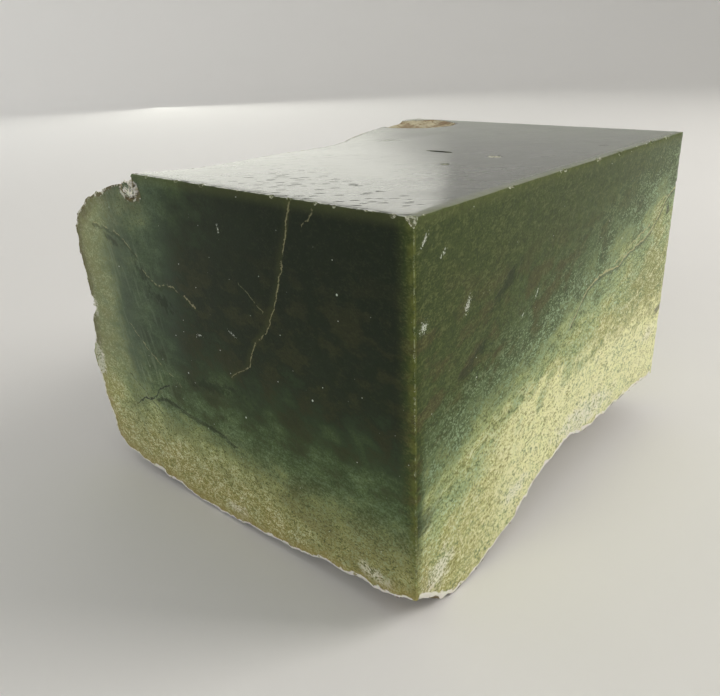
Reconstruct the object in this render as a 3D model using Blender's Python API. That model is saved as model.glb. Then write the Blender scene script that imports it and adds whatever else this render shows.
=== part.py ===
"""A corner block of raw nephrite jade: four flat sawn faces, and natural boulder rind on one side and below.

Local layout while it is shaped, in millimetres: the sawn end face lies on x = 0, the sawn long face on
y = 0, the sawn back end on x = block_length and the sawn top on z = block_height.  The rind closes the
+y side and the underside.  The finished mesh is moved so that its box stands centred on the origin.
"""
import math

import bmesh
import bpy
from mathutils import Vector, noise

MM = 0.001

# Driving sizes, millimetres
block_length = 140.0          # between the two sawn ends, along x
block_height = 100.0          # sawn top above the resting surface
cells_along = 47              # mesh cells of the rind from one sawn end to the other
margin_cells = 3              # cells of rind past each saw plane, cut away again
cell_size = block_length / cells_along
rim_gap = 0.6                 # nearest that a rind point beside a saw cut comes to its plane

# Outline of the sawn end face on x = 0, as (y, z): underside, rounded foot, side, shoulder, top rim
end_outline = [
    (0.0, 8.0), (11.0, 6.4), (25.0, 4.8), (44.0, 2.2), (65.0, 0.9), (80.0, 0.0), (95.0, 1.3),
    (112.0, 3.1), (124.7, 4.6), (129.4, 8.0), (132.4, 16.0), (134.4, 27.0), (135.3, 38.0),
    (132.0, 48.5), (131.4, 60.0), (132.4, 70.0), (132.8, 77.0), (130.2, 85.0), (122.4, 90.4),
    (114.5, 93.8), (106.0, 95.8), (99.5, 97.4), (94.2, 100.0),
]

# The same points round the sawn back end on x = block_length
back_outline = [
    (0.0, 15.0), (10.0, 12.4), (23.0, 9.4), (40.0, 5.6), (56.0, 2.6), (70.0, 1.2), (83.0, 2.6),
    (94.0, 6.4), (103.0, 11.6), (109.0, 17.6), (113.5, 25.0), (117.0, 34.0), (119.4, 44.0),
    (120.4, 54.0), (120.0, 63.0), (118.6, 71.0), (116.6, 78.0), (114.2, 84.0), (111.8, 89.0),
    (109.8, 92.6), (108.0, 95.4), (106.6, 97.8), (105.4, 100.0),
]

# Lower rim of the long face, as (x, z), and back rim of the top face, as (x, y)
front_rim = [
    (0.0, 8.0), (3.0, 5.8), (8.0, 3.3), (17.0, 0.6), (26.0, 1.4), (35.0, 3.9), (44.0, 5.6),
    (51.5, 9.8), (59.0, 13.6), (67.0, 15.6), (75.0, 17.0), (91.0, 15.3), (119.0, 16.6), (140.0, 15.0),
]
top_rim = [
    (0.0, 94.2), (7.0, 90.0), (15.0, 84.9), (28.0, 84.2), (46.0, 83.8), (54.0, 81.8), (62.0, 81.8),
    (72.0, 83.8), (88.0, 91.2), (109.0, 99.6), (126.0, 103.6), (135.0, 107.0), (140.0, 105.4),
]
front_rim_reach = 0.38        # share of the profile, from the underside's rim, that follows front_rim
top_rim_reach = 0.5           # share of the profile, down from the top, that follows top_rim
shoulder_reach = 0.45         # share of the profile, down from the top, that the shoulder takes
shoulder_drop = 8.0           # the shoulder sinks this much midway along the block

# Spots where the underside bears on the surface, as (x, y, radius)
bearing_spots = [(18.0, 9.0, 12.0), (10.0, 82.0, 13.0), (108.0, 66.0, 15.0), (74.0, 102.0, 12.0)]
bearing_pull = 1.2            # how far a spot is pushed below the surface before it is flattened
clearance = 2.2               # elsewhere the underside levels off this far above the surface

# Relief of the rind, as (wavelength, height): broad lumps, shingled ledges, pits and knobs
lump_relief = (46.0, 4.0)
ledge_relief = (21.0, 3.2)
pit_relief = (13.0, 2.3)
knob_relief = (8.0, 1.1)
facet_relief = (27.0, 0.6)    # flat breaks: their size, and how steeply they lean
facet_blend = 0.42            # share of a break's size over which it turns into the next
ledge_lean = Vector((0.34, -0.25, 0.91))  # across the jade's fibres, which the ledges follow
ledge_riser = 0.34            # share of a ledge that is its steep side
ledge_patches = (31.0, Vector((3.0, 8.0, 1.0)))   # size and seed of the areas that have ledges
pit_patches = (24.0, Vector((5.0, 5.0, 2.0)))     # size and seed of the areas that have pits
facet_seed = Vector((4.1, 2.7, 6.3))
rim_fade = 15.0               # broad relief grows from little at a saw cut to full over this distance
soften_share = 0.45           # how far each point is drawn towards its neighbours

# Breaks in the sawn faces and edges, as (centre, radii, raggedness)
breaks = {
    "corner_dish": ((124.0, 92.5, 101.6), (18.5, 16.0, 3.0), 0.22),
    "shoulder_notch": ((-0.9, 97.2, 95.6), (3.3, 4.4, 3.1), 0.3),
    "front_corner_chip": ((-0.9, -1.2, 100.4), (2.9, 3.3, 4.6), 0.2),
    "top_edge_nick": ((34.5, -1.1, 100.6), (2.6, 2.0, 1.6), 0.2),
    "far_edge_nick": ((110.5, -1.2, 100.6), (1.9, 1.9, 1.4), 0.2),
    "back_rim_spall": ((141.0, 117.0, 58.0), (3.6, 9.0, 14.0), 0.3),
}


def clear_scene():
    for old in list(bpy.data.objects):
        bpy.data.objects.remove(old, do_unlink=True)


def ease(value):
    value = min(max(value, 0.0), 1.0)
    return value * value * (3 - 2 * value)


def smooth_between(points, position):
    """Catmull-Rom through evenly indexed points; position 2.5 is halfway from point 2 to point 3."""
    last = len(points) - 1
    index = min(int(position), last - 1)
    t = position - index
    before, start, end, after = (Vector(points[min(max(k, 0), last)]) for k in range(index - 1, index + 3))
    return 0.5 * (2 * start + (end - before) * t + (2 * before - 5 * start + 4 * end - after) * t ** 2
                  + (3 * start - before - 3 * end + after) * t ** 3)


def height_along(rim, x):
    """Second value of a rim of (x, value) pairs at x, straight between its points."""
    if x <= rim[0][0]:
        return rim[0][1]
    for (x0, value0), (x1, value1) in zip(rim, rim[1:]):
        if x <= x1:
            return value0 + (value1 - value0) * (x - x0) / (x1 - x0)
    return rim[-1][1]


def profile_positions():
    """Positions along the outlines, a mesh cell apart on the mean of the two ends."""
    positions = []
    for k in range(len(end_outline) - 1):
        spans = [math.dist(outline[k], outline[k + 1]) for outline in (end_outline, back_outline)]
        cuts = max(1, round(sum(spans) / 2 / cell_size))
        positions += [k + step / cuts for step in range(cuts)]
    return positions + [len(end_outline) - 1.0]


def rind_point(x, position):
    """Point of the smooth rind: the end outlines blended along x, fitted to both long rims and hollowed."""
    along = min(max(x / block_length, 0.0), 1.0)
    share = position / (len(end_outline) - 1)
    end, back = smooth_between(end_outline, position), smooth_between(back_outline, position)
    y, z = end.lerp(back, along)
    straight_z = end_outline[0][1] * (1 - along) + back_outline[0][1] * along
    straight_y = end_outline[-1][0] * (1 - along) + back_outline[-1][0] * along
    z += (height_along(front_rim, x) - straight_z) * (1 - ease(share / front_rim_reach))
    y += (height_along(top_rim, x) - straight_y) * ease((share - 1 + top_rim_reach) / top_rim_reach)
    shoulder = ease((share - 1 + shoulder_reach) / shoulder_reach)
    z -= shoulder_drop * math.sin(math.pi * along) * math.sin(math.pi * shoulder)
    return Vector((x, y, z))


def rind_rows():
    """Rows of rind points, one row for each station along x, from the long face's rim to the top's."""
    positions = profile_positions()
    last = len(end_outline) - 1.0
    margin = [cell_size * step for step in range(1, margin_cells + 1)]
    rows = []
    for station in range(-margin_cells, cells_along + margin_cells + 1):
        x = station * cell_size
        lower, upper = rind_point(x, 0.0), rind_point(x, last)
        row = [lower - Vector((0, step, 0)) for step in reversed(margin)]
        row += [rind_point(x, position) for position in positions]
        row += [upper + Vector((0, 0, step)) for step in margin]
        rows.append(row)
    return rows


def patchy(point, patches):
    """From 0 to 1: how strongly a kind of relief shows in this area of the rind."""
    size, seed = patches
    return ease(0.5 + 1.7 * noise.noise(point / size + seed))


def cell_lean(core):
    """Direction in which the flat break round a cell's core leans, the same for every point of the cell."""
    shifts = [Vector((shift, -shift, 2 * shift)) for shift in (0.0, 31.0, 57.0)]
    return Vector([noise.noise(core * 7.7 + shift) for shift in shifts])


def facets(point):
    """Flat breaks: each cell of the rock has its own plane, eased into its neighbour's at the border."""
    size, steepness = facet_relief
    scaled = point / size + facet_seed
    (first, second, *_), (core, neighbour, *_) = noise.voronoi(scaled)
    own = (scaled - core).dot(cell_lean(core))
    other = (scaled - neighbour).dot(cell_lean(neighbour))
    share = 0.5 + 0.5 * ease((second - first) / facet_blend)
    return size * steepness * (own * share + other * (1 - share))


def ledges(point):
    """Shingled steps: a gentle tread, then a steep riser, repeated across the fibres."""
    spacing, height = ledge_relief
    rise = (point.dot(ledge_lean) / spacing + 0.9 * noise.noise(point / (1.9 * spacing))) % 1.0
    return height * patchy(point, ledge_patches) * (rise - ease((rise - 1 + ledge_riser) / ledge_riser) - 0.3)


def pits(point):
    spacing, depth = pit_relief
    nearest = noise.voronoi(point / spacing)[0][0]
    return -depth * patchy(point, pit_patches) * (1 - ease(1.9 * nearest))


def relief(point):
    """Height of the rind's relief at a point, with the broad forms faded out towards the saw cuts."""
    to_cut = min(point.x, block_length - point.x, point.y, block_height - point.z)
    inside = ease(to_cut / rim_fade)
    lump_size, lump_height = lump_relief
    knob_size, knob_height = knob_relief
    broad = lump_height * noise.fractal(point / lump_size, 0.9, 2.1, 2) + facets(point) + ledges(point)
    small = pits(point) + knob_height * noise.fractal(point / knob_size, 0.8, 2.2, 2)
    return (0.12 + 0.88 * inside) * broad + (0.35 + 0.65 * inside) * small


def displaced(rows):
    """Move every rind point out along the smooth surface's normal by its relief."""
    moved = []
    for i, row in enumerate(rows):
        before, after = rows[max(i - 1, 0)], rows[min(i + 1, len(rows) - 1)]
        line = []
        for j, point in enumerate(row):
            across = row[min(j + 1, len(row) - 1)] - row[max(j - 1, 0)]
            outward = across.cross(after[j] - before[j]).normalized()
            line.append(point + outward * relief(point))
        moved.append(line)
    return moved


def soften(rows):
    """Round off the relief's single-cell steps by drawing each point towards its four neighbours."""
    old = [[point.copy() for point in row] for row in rows]
    for i in range(1, len(rows) - 1):
        for j in range(1, len(rows[0]) - 1):
            around = (old[i - 1][j] + old[i + 1][j] + old[i][j - 1] + old[i][j + 1]) / 4
            rows[i][j] = old[i][j].lerp(around, soften_share)


def press_on_bearings(rows):
    """Level the underside off above the surface, and lower it to flat patches at the bearing spots."""
    for point in (point for row in rows for point in row if point.z < block_height / 3):
        if point.z < clearance:
            point.z = clearance * math.exp(point.z / clearance - 1)
        for x, y, radius in bearing_spots:
            reach = math.hypot(point.x - x, point.y - y) / radius
            point.z += (-bearing_pull - point.z) * (1 - ease(0.75 * reach))
        point.z = max(point.z, 0.0)


def hold_side(value, cut, side):
    """Keep a coordinate on its side of a saw cut: -1 below it, 0 exactly on it, 1 above it."""
    if side == 0:
        return cut
    return max(value, cut + rim_gap) if side > 0 else min(value, cut - rim_gap)


def pin_to_cuts(rows):
    """Lay the rows that follow a saw cut exactly on it, and keep their neighbours clear of it."""
    last_station, last_point = len(rows) - 1 - margin_cells, len(rows[0]) - 1 - margin_cells
    for i, row in enumerate(rows):
        for j, point in enumerate(row):
            point.x = hold_side(point.x, 0.0, (i > margin_cells) - (i < margin_cells))
            point.x = hold_side(point.x, block_length, (i > last_station) - (i < last_station))
            if j < len(row) / 2:
                point.y = hold_side(point.y, 0.0, (j > margin_cells) - (j < margin_cells))
            else:
                point.z = hold_side(point.z, block_height, (j > last_point) - (j < last_point))


def uncut_block(rows):
    """Closed body whose rind is the given rows and whose other faces lie outside the saw planes."""
    margin = cell_size * margin_cells
    outer = [Vector((row[0].x, -margin, block_height + margin)) for row in rows]
    mesh = bmesh.new()
    grid = [[mesh.verts.new(point) for point in row + [corner]] for row, corner in zip(rows, outer)]
    for first, second in zip(grid, grid[1:]):
        for j in range(len(first)):
            k = (j + 1) % len(first)
            mesh.faces.new((first[j], first[k], second[k], second[j]))
    mesh.faces.new(grid[0])
    mesh.faces.new(grid[-1])
    bmesh.ops.recalc_face_normals(mesh, faces=mesh.faces)
    return mesh


def saw(mesh, point, outward):
    """Cut the body flat at a plane, throw away what lies beyond it and close the cut."""
    everything = mesh.verts[:] + mesh.edges[:] + mesh.faces[:]
    cut = bmesh.ops.bisect_plane(mesh, geom=everything, dist=1e-5, plane_co=point, plane_no=outward,
                                 clear_outer=True)
    rim = [item for item in cut["geom_cut"] if isinstance(item, bmesh.types.BMEdge)]
    bmesh.ops.edgenet_fill(mesh, edges=rim)


def build_block():
    rows = displaced(rind_rows())
    soften(rows)
    press_on_bearings(rows)
    pin_to_cuts(rows)
    mesh = uncut_block(rows)
    saw(mesh, (0, 0, 0), (-1, 0, 0))
    saw(mesh, (block_length, 0, 0), (1, 0, 0))
    saw(mesh, (0, 0, 0), (0, -1, 0))
    saw(mesh, (0, 0, block_height), (0, 0, 1))
    bmesh.ops.recalc_face_normals(mesh, faces=mesh.faces)
    data = bpy.data.meshes.new("jade_boulder")
    mesh.to_mesh(data)
    mesh.free()
    block = bpy.data.objects.new("jade_boulder", data)
    bpy.context.collection.objects.link(block)
    return block


def break_cutter(name, centre, radii, raggedness):
    """Rounded cutter with a lumpy surface for one break."""
    bpy.ops.mesh.primitive_ico_sphere_add(subdivisions=3, radius=1.0)
    cutter = bpy.context.object
    cutter.name = name
    for vertex in cutter.data.vertices:
        away = vertex.co.normalized()
        size = 1 + raggedness * noise.noise(away * 2.1 + Vector(radii))
        vertex.co = Vector(centre) + size * away * Vector(radii)
    cutter.hide_render = True
    cutter.display_type = "WIRE"
    return cutter


def apply_breaks(block):
    for name, (centre, radii, raggedness) in breaks.items():
        cutter = break_cutter(name, centre, radii, raggedness)
        cut = block.modifiers.new(name, "BOOLEAN")
        cut.operation = "DIFFERENCE"
        cut.object = cutter
        bpy.context.view_layer.objects.active = block
        bpy.ops.object.modifier_apply(modifier=cut.name)
        bpy.data.objects.remove(cutter, do_unlink=True)


def stand_on_origin(block):
    """Bring the box's bottom centre to the origin, and the mesh to metres."""
    corners = [vertex.co for vertex in block.data.vertices]
    low = Vector([min(corner[axis] for corner in corners) for axis in range(3)])
    high = Vector([max(corner[axis] for corner in corners) for axis in range(3)])
    foot = Vector(((low.x + high.x) / 2, (low.y + high.y) / 2, low.z))
    for vertex in block.data.vertices:
        vertex.co = (vertex.co - foot) * MM
    block.data.update()


def jade_material():
    jade = bpy.data.materials.new("jade")
    jade.use_nodes = True
    shader = jade.node_tree.nodes["Principled BSDF"]
    shader.inputs["Base Color"].default_value = (0.12, 0.19, 0.11, 1.0)
    shader.inputs["Roughness"].default_value = 0.4
    shader.inputs["Metallic"].default_value = 0.0
    return jade


def main():
    clear_scene()
    block = build_block()
    apply_breaks(block)
    stand_on_origin(block)
    block.data.materials.clear()
    block.data.materials.append(jade_material())
    block.data.shade_smooth()
    block.data.set_sharp_from_angle(angle=math.radians(32))


main()
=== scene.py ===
import math
import random

import bpy
import numpy as np
from mathutils import Matrix, Vector, noise
from mathutils.bvhtree import BVHTree


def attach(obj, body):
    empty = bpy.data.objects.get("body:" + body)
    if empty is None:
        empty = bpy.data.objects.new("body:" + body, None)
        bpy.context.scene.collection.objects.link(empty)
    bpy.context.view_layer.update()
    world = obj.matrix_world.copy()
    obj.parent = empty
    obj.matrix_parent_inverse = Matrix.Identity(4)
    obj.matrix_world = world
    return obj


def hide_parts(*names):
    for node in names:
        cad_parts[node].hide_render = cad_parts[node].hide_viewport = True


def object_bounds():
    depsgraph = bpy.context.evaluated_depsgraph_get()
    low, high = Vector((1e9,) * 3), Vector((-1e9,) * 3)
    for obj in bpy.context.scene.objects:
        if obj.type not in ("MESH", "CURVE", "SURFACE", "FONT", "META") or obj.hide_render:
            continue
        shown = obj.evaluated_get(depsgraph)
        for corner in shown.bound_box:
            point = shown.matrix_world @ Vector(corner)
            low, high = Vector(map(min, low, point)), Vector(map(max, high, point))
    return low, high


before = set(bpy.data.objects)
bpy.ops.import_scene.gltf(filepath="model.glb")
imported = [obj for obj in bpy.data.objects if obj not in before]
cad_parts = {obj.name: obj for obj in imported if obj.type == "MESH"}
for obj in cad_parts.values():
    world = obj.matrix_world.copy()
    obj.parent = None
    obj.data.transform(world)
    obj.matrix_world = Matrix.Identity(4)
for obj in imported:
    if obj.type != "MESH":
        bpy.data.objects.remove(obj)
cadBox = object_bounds()

mm = 0.001
lowCorner, highCorner = cadBox
blockCentre = (lowCorner + highCorner) / 2
blockSize = highCorner - lowCorner
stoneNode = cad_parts["jade_boulder"]


# small helpers for working as in the viewport

def dropSelection():
    if bpy.context.object and bpy.context.object.mode != "OBJECT":
        bpy.ops.object.mode_set(mode="OBJECT")
    bpy.ops.object.select_all(action="DESELECT")


def takeUp(piece):
    dropSelection()
    piece.select_set(True)
    bpy.context.view_layer.objects.active = piece


def selectFaces(piece, wanted):
    takeUp(piece)
    bpy.ops.object.mode_set(mode="EDIT")
    bpy.ops.mesh.select_mode(type="FACE")
    bpy.ops.mesh.select_all(action="DESELECT")
    bpy.ops.object.mode_set(mode="OBJECT")
    for face in piece.data.polygons:
        face.select = bool(wanted(face))
    bpy.ops.object.mode_set(mode="EDIT")


def selectEdges(piece, wanted):
    takeUp(piece)
    bpy.ops.object.mode_set(mode="EDIT")
    bpy.ops.mesh.select_mode(type="EDGE")
    bpy.ops.mesh.select_all(action="DESELECT")
    bpy.ops.object.mode_set(mode="OBJECT")
    corners = piece.data.vertices
    for edge in piece.data.edges:
        edge.select = wanted(corners[edge.vertices[0]].co, corners[edge.vertices[1]].co)
    bpy.ops.object.mode_set(mode="EDIT")


def applyModifier(piece, kind, name, **settings):
    takeUp(piece)
    modifier = piece.modifiers.new(name, kind)
    for key, value in settings.items():
        setattr(modifier, key, value)
    bpy.ops.object.modifier_apply(modifier=name)


def displace(piece, name, kind, strength, middle=0.5, group="", **settings):
    texture = bpy.data.textures.new(name, kind)
    for key, value in settings.items():
        setattr(texture, key, value)
    applyModifier(piece, "DISPLACE", name, texture=texture, texture_coords="LOCAL",
                  strength=strength * mm, mid_level=middle, vertex_group=group)


def blot(spot, size, seed):
    return noise.noise(Vector(spot) / (size * mm) + Vector(seed))


# the sides that the saw left: outward normal, and where the plane lies

sawnSides = {
    "end": (Vector((-1, 0, 0)), -lowCorner.x),
    "backEnd": (Vector((1, 0, 0)), highCorner.x),
    "long": (Vector((0, -1, 0)), -lowCorner.y),
    "top": (Vector((0, 0, 1)), highCorner.z),
}


def lieOnSaw(spot, slack=0.02):
    return [name for name, (out, reach) in sawnSides.items() if abs(spot.dot(out) - reach) < slack * mm]


# the finishes, in the order of the stone's material slots

finishOrder = ["skin", "sawn", "break", "crystal", "top"]
slotOf = {name: index for index, name in enumerate(finishOrder)}


def dress(piece, finishes, kind):
    # every part of the cutting has all the finishes, so that the faces keep theirs through it
    for finish in finishes:
        piece.data.materials.append(finish)
    for face in piece.data.polygons:
        face.material_index = slotOf[kind]


# the stone as it came, with its skin worked finer than the solid has it

roughStone = {
    "overcut": 3.0,            # each sawn side is grown by this and sawn off again, mm
    "voxel": 1.0,
    "smoothing": 4,
    "crags": (8.0, 1.15),      # size and height of each kind of relief, mm
    "hollows": (4.6, 1.0),
    "grain": (2.5, 0.95),
    "pitted": (17, 1.6, 0.25), # patches that have the hollows: size in mm, contrast and share
    "recess": (94.0, 0.12),    # the recess in the top: above this height, and with this share of the relief
}


def makeRoughStone():
    stone = bpy.data.objects.new("roughStone", stoneNode.data.copy())
    bpy.context.collection.objects.link(stone)
    stone.data.materials.clear()
    takeUp(stone)
    bpy.ops.object.mode_set(mode="EDIT")
    bpy.ops.mesh.select_all(action="SELECT")
    bpy.ops.mesh.remove_doubles(threshold=0.00001)
    for out, reach in sawnSides.values():
        selectFaces(stone, lambda face: face.normal.dot(out) > 0.999
                    and abs(face.center.dot(out) - reach) < 0.02 * mm)
        bpy.ops.mesh.extrude_region_move(TRANSFORM_OT_translate={"value": out * roughStone["overcut"] * mm})
    applyModifier(stone, "REMESH", "grid", mode="VOXEL", voxel_size=roughStone["voxel"] * mm)
    applyModifier(stone, "SMOOTH", "settle", factor=0.5, iterations=roughStone["smoothing"])
    before = BVHTree.FromPolygons([v.co.copy() for v in stone.data.vertices],
                                  [tuple(p.vertices) for p in stone.data.polygons])

    # the recess in the top is shallow and stays smooth
    recessFrom, recessRelief = roughStone["recess"]
    craggy = stone.vertex_groups.new(name="craggy")
    for point in stone.data.vertices:
        inRecess = point.co.z > recessFrom * mm and point.normal.z > 0.5
        craggy.add([point.index], recessRelief if inRecess else 1.0, "REPLACE")
    size, height = roughStone["crags"]
    displace(stone, "crags", "MUSGRAVE", height, middle=0.75, group="craggy", noise_scale=size * mm,
             musgrave_type="RIDGED_MULTIFRACTAL", octaves=2.0, noise_intensity=0.7)
    patchSize, contrast, usual = roughStone["pitted"]
    pitted = stone.vertex_groups.new(name="pitted")
    for point in stone.data.vertices:
        share = blot(point.co, patchSize, (3, 1, 7)) * contrast + usual
        if share > 0 and point.co.z < recessFrom * mm:
            pitted.add([point.index], min(share, 1.0), "REPLACE")
    size, height = roughStone["hollows"]
    displace(stone, "hollows", "VORONOI", height, middle=0.85, group="pitted", noise_scale=size * mm)
    size, height = roughStone["grain"]
    displace(stone, "grain", "CLOUDS", height, middle=0.62, group="craggy", noise_scale=size * mm,
             noise_depth=2)
    return stone, before


# the saw block: the box the four cuts make, its arrises worn and chipped

sawBlock = {
    "cuts": 90,
    "wear": 0.28,              # width of the worn arrises, mm
    "wearRelief": (1.7, 0.3),  # size and height of its unevenness, mm
}


def makeSawBlock():
    dropSelection()
    bpy.ops.mesh.primitive_cube_add(size=1, location=blockCentre, scale=blockSize)
    block = bpy.context.object
    block.name = "sawBlock"
    bpy.ops.object.transform_apply(location=True, rotation=False, scale=True)
    selectFaces(block, lambda face: any(face.normal.dot(out) > 0.9 for out, reach in sawnSides.values()))
    bpy.ops.mesh.subdivide(number_cuts=sawBlock["cuts"])
    selectEdges(block, lambda a, b: len(set(lieOnSaw(a)) & set(lieOnSaw(b))) > 1)
    bpy.ops.mesh.bevel(offset=sawBlock["wear"] * mm, segments=2, affect="EDGES")
    bpy.ops.object.mode_set(mode="OBJECT")
    arris = block.vertex_groups.new(name="arris")
    for point in block.data.vertices:
        near = sum(abs(point.co.dot(out) - reach) < sawBlock["wear"] * mm * 1.01
                   for out, reach in sawnSides.values())
        if near > 1:
            arris.add([point.index], 1.0, "REPLACE")
    size, height = sawBlock["wearRelief"]
    displace(block, "wear", "CLOUDS", height, middle=1.0, group="arris", noise_scale=size * mm)
    return block


# breaks: what has come off corners and arrises, as centre, half sizes and raggedness in mm

breaks = {
    "frontCorner": ((-70.9, -68.9, 100.6), (2.5, 2.6, 3.4), 1.0),
    "topNick": ((-35.5, -68.7, 100.5), (3.0, 1.5, 1.3), 0.8),
    "farNick": ((40.5, -68.7, 100.5), (2.2, 1.6, 1.3), 0.7),
    "topSpall": ((-1.6, -42.6, 100.7), (1.7, 2.4, 1.3), 0.4),
    "topCrack": ((-0.6, -23.4, 100.2), (1.1, 4.8, 1.5), 0.45),
    "topPit": ((-18.1, -38.0, 100.5), (1.3, 1.6, 0.8), 0.4),
    "sideSpall": ((-70.4, 63.6, 55.8), (2.0, 3.0, 4.0), 1.2),
    "footSpall": ((-70.5, 64.8, 36.0), (1.7, 2.2, 6.0), 1.0),
}
# small chips scattered along the sawn arrises
chips = {
    "seed": 11,
    "count": 74,
    "size": (0.35, 1.1),
    "frontFoot": 6.0,          # where the arrises start or end, short of the block's corners, mm
    "backFoot": 16.0,
    "endTop": 22.0,
    "backTop": 34.0,
    "uneven": (0.6, 1.3),
    "offset": 0.25,            # a chip's middle lies off the arris by up to this share of its size
}
# pale crystals that line hollows in the skin: centre, reach, count and size
crystals = {
    "shoulder": ((-68.6, 30.4, 95.1), (1.9, 3.0, 2.0), 130, (0.5, 1.15)),
    "side": ((-68.6, 62.6, 55.8), (1.7, 1.9, 3.6), 70, (0.45, 1.0)),
    "foot": ((-69.2, 63.9, 36.0), (1.3, 1.6, 4.8), 50, (0.5, 1.1)),
}
crystalShape = {
    "spread": 0.5,             # how closely they crowd round the middle of their hollow
    "width": 0.7,
    "length": (0.9, 1.7),
}


def makeBreak(name, centre, radii, ragged, facets=3):
    dropSelection()
    bpy.ops.mesh.primitive_ico_sphere_add(subdivisions=facets, radius=1, location=Vector(centre) * mm,
                                          scale=Vector(radii) * mm)
    cutter = bpy.context.object
    cutter.name = name
    bpy.ops.object.transform_apply(location=True, rotation=False, scale=True)
    if ragged:
        displace(cutter, name, "CLOUDS", ragged, noise_scale=max(radii) * 0.5 * mm)
    return cutter


def insideBreak(spot, centre, radii):
    off = spot / mm - Vector(centre)
    margin = 1.2    # mm, for the raggedness
    return sum((off[axis] / (radii[axis] + margin)) ** 2 for axis in range(3)) < 1


def makeChips():
    draw = random.Random(chips["seed"])
    left, right, front, level = lowCorner.x, highCorner.x, lowCorner.y, highCorner.z
    nearCorner, farCorner = Vector((left, front, level)), Vector((right, front, level))
    arrises = [
        (Vector((left, front, chips["frontFoot"] * mm)), nearCorner),
        (nearCorner, farCorner),
        (nearCorner, Vector((left, chips["endTop"] * mm, level))),
        (Vector((right, front, chips["backFoot"] * mm)), farCorner),
        (farCorner, Vector((right, chips["backTop"] * mm, level))),
    ]
    cutters = []
    lengths = [(b - a).length for a, b in arrises]
    for index in range(chips["count"]):
        a, b = draw.choices(arrises, lengths)[0]
        place = a.lerp(b, draw.random())
        smallest, largest = chips["size"]
        radius = smallest + (largest - smallest) * draw.random() ** 3
        radii = [radius * draw.uniform(*chips["uneven"]) for axis in range(3)]
        offset = chips["offset"]
        shift = Vector([draw.uniform(-offset, offset) * radius * mm for axis in range(3)])
        cutters.append(makeBreak(f"chip{index}", (place + shift) / mm, radii, 0, 2))
    return cutters


def makeCrystals(name, finishes, centre, reach, count, size):
    draw = random.Random(name)
    cluster = None
    for index in range(count):
        way = Vector([draw.gauss(0, crystalShape["spread"]) for axis in range(3)])
        way *= min(1.0, 1 / way.length)
        place = Vector(centre) + Vector([way[axis] * reach[axis] for axis in range(3)])
        thick = draw.uniform(*size)
        width, length = crystalShape["width"], draw.uniform(*crystalShape["length"])
        dropSelection()
        bpy.ops.mesh.primitive_ico_sphere_add(
            subdivisions=1, radius=thick * mm, location=place * mm, scale=(width, width, length),
            rotation=[draw.uniform(0, math.pi) for axis in range(3)])
        crystal = bpy.context.object
        crystal.name = f"{name}Crystal{index}"
        bpy.ops.object.transform_apply(location=True, rotation=True, scale=True)
        dress(crystal, finishes, "crystal")
        if cluster is None:
            cluster = crystal
        else:
            boolean(cluster, crystal, "UNION")
    return cluster


def boolean(piece, cutter, operation):
    applyModifier(piece, "BOOLEAN", cutter.name, operation=operation, object=cutter, solver="MANIFOLD")
    bpy.data.objects.remove(cutter)


# the finished stone

rim = {
    "fine": 2.4,               # faces nearer to the rim than this are split once more, mm
    "width": {"long": (0.9, 2.1), "end": (0.5, 1.7), "top": (0.3, 0.9), "backEnd": (0.5, 1.7)},
    "waver": [(0.9, 3.1, (9, 2, 4)), (0.5, 1.1, (1, 8, 3))],    # of the width: amount, size and seed
    "reach": 1.3,              # the crumbled look reaches a little past that width
    "slope": 0.2,              # the crumbled edge falls away this steeply from the sawn face
    "sharp": 38,               # steeper edges than this, in degrees, stay sharp
}


def measureSkin(stone):
    # rim points belong to cut and natural faces; the depth below the skin is read from the natural ones
    mesh = stone.data
    onSkin = [False] * len(mesh.vertices)
    onCut = [False] * len(mesh.vertices)
    for face in mesh.polygons:
        side = onSkin if face.material_index == slotOf["skin"] else onCut
        for corner in face.vertices:
            side[corner] = True
    natural = [tuple(face.vertices) for face in mesh.polygons if face.material_index == slotOf["skin"]]
    skinTree = BVHTree.FromPolygons([v.co.copy() for v in mesh.vertices], natural)
    depth = np.zeros(len(mesh.vertices))
    for point in mesh.vertices:
        if onCut[point.index] and not onSkin[point.index]:
            depth[point.index] = skinTree.find_nearest(point.co)[3] / mm
    return depth, onSkin, onCut


def storeValue(mesh, name, values):
    attribute = mesh.attributes.new(name, "FLOAT", "POINT")
    attribute.data.foreach_set("value", np.asarray(values, np.float32))


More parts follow.
